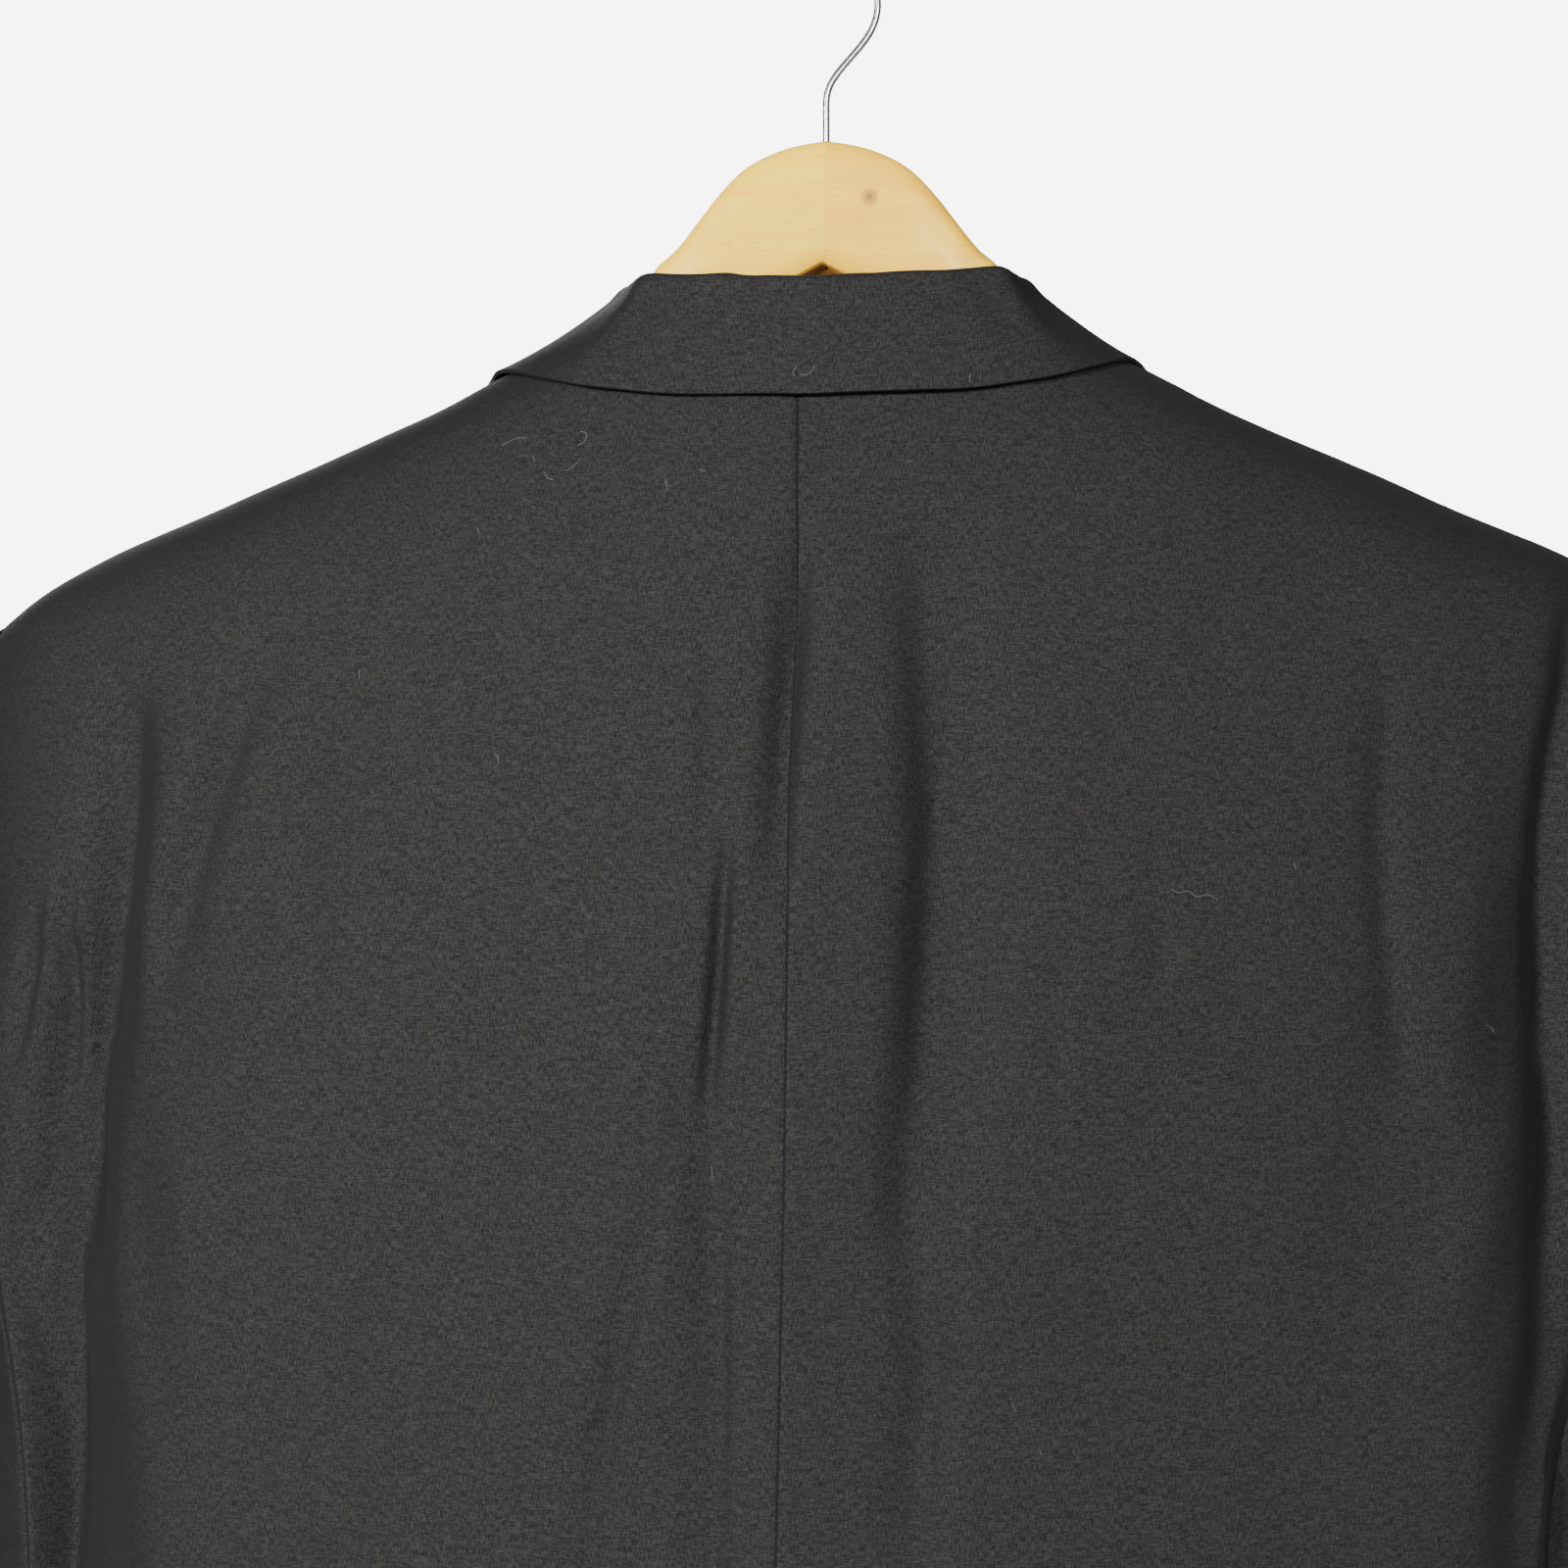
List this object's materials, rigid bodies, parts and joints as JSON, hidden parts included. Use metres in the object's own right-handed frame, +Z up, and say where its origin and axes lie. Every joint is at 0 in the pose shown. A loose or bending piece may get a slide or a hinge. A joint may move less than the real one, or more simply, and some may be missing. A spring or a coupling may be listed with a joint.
{
  "type": "sport coat on a hanger",
  "caption": "Black plain-weave sport coat with notch lapels and flap pockets, on a shaped wooden hanger whose wire hook hangs from a rail.",
  "frame": {"origin": "top of the inside of the hook's crook, where the hanger rests on a rail", "axes": "+Z up, the coat's front faces -Y and its left side lies towards +X; the rail runs along Y"},
  "size_m": [0.8168, 0.2759, 0.9628],
  "materials": {
    "wool": "matte black plain weave",
    "horn": "dark polished horn",
    "beech": "pale clear-lacquered wood",
    "steel_wire": "bright wire"
  },
  "bodies": {
    "root": {"back_left": "wool", "back_right": "wool", "side_left": "wool", "side_right": "wool", "front_left": "wool", "front_right": "wool", "collar_stand": "wool", "collar_fall": "wool", "lapel_left": "wool", "lapel_right": "wool", "sleeve_top_left": "wool", "sleeve_top_right": "wool", "sleeve_under_left": "wool", "sleeve_under_right": "wool", "pocket_flap_left": "wool", "pocket_flap_right": "wool", "breast_welt": "wool", "front_button_1": "horn", "front_button_2": "horn", "cuff_button_left_1": "horn", "cuff_button_left_2": "horn", "cuff_button_left_3": "horn", "cuff_button_left_4": "horn", "cuff_button_right_1": "horn", "cuff_button_right_2": "horn", "cuff_button_right_3": "horn", "cuff_button_right_4": "horn", "hanger_left": "beech", "hanger_right": "beech", "hanger_hook": "steel_wire"}
  },
  "joints": []
}
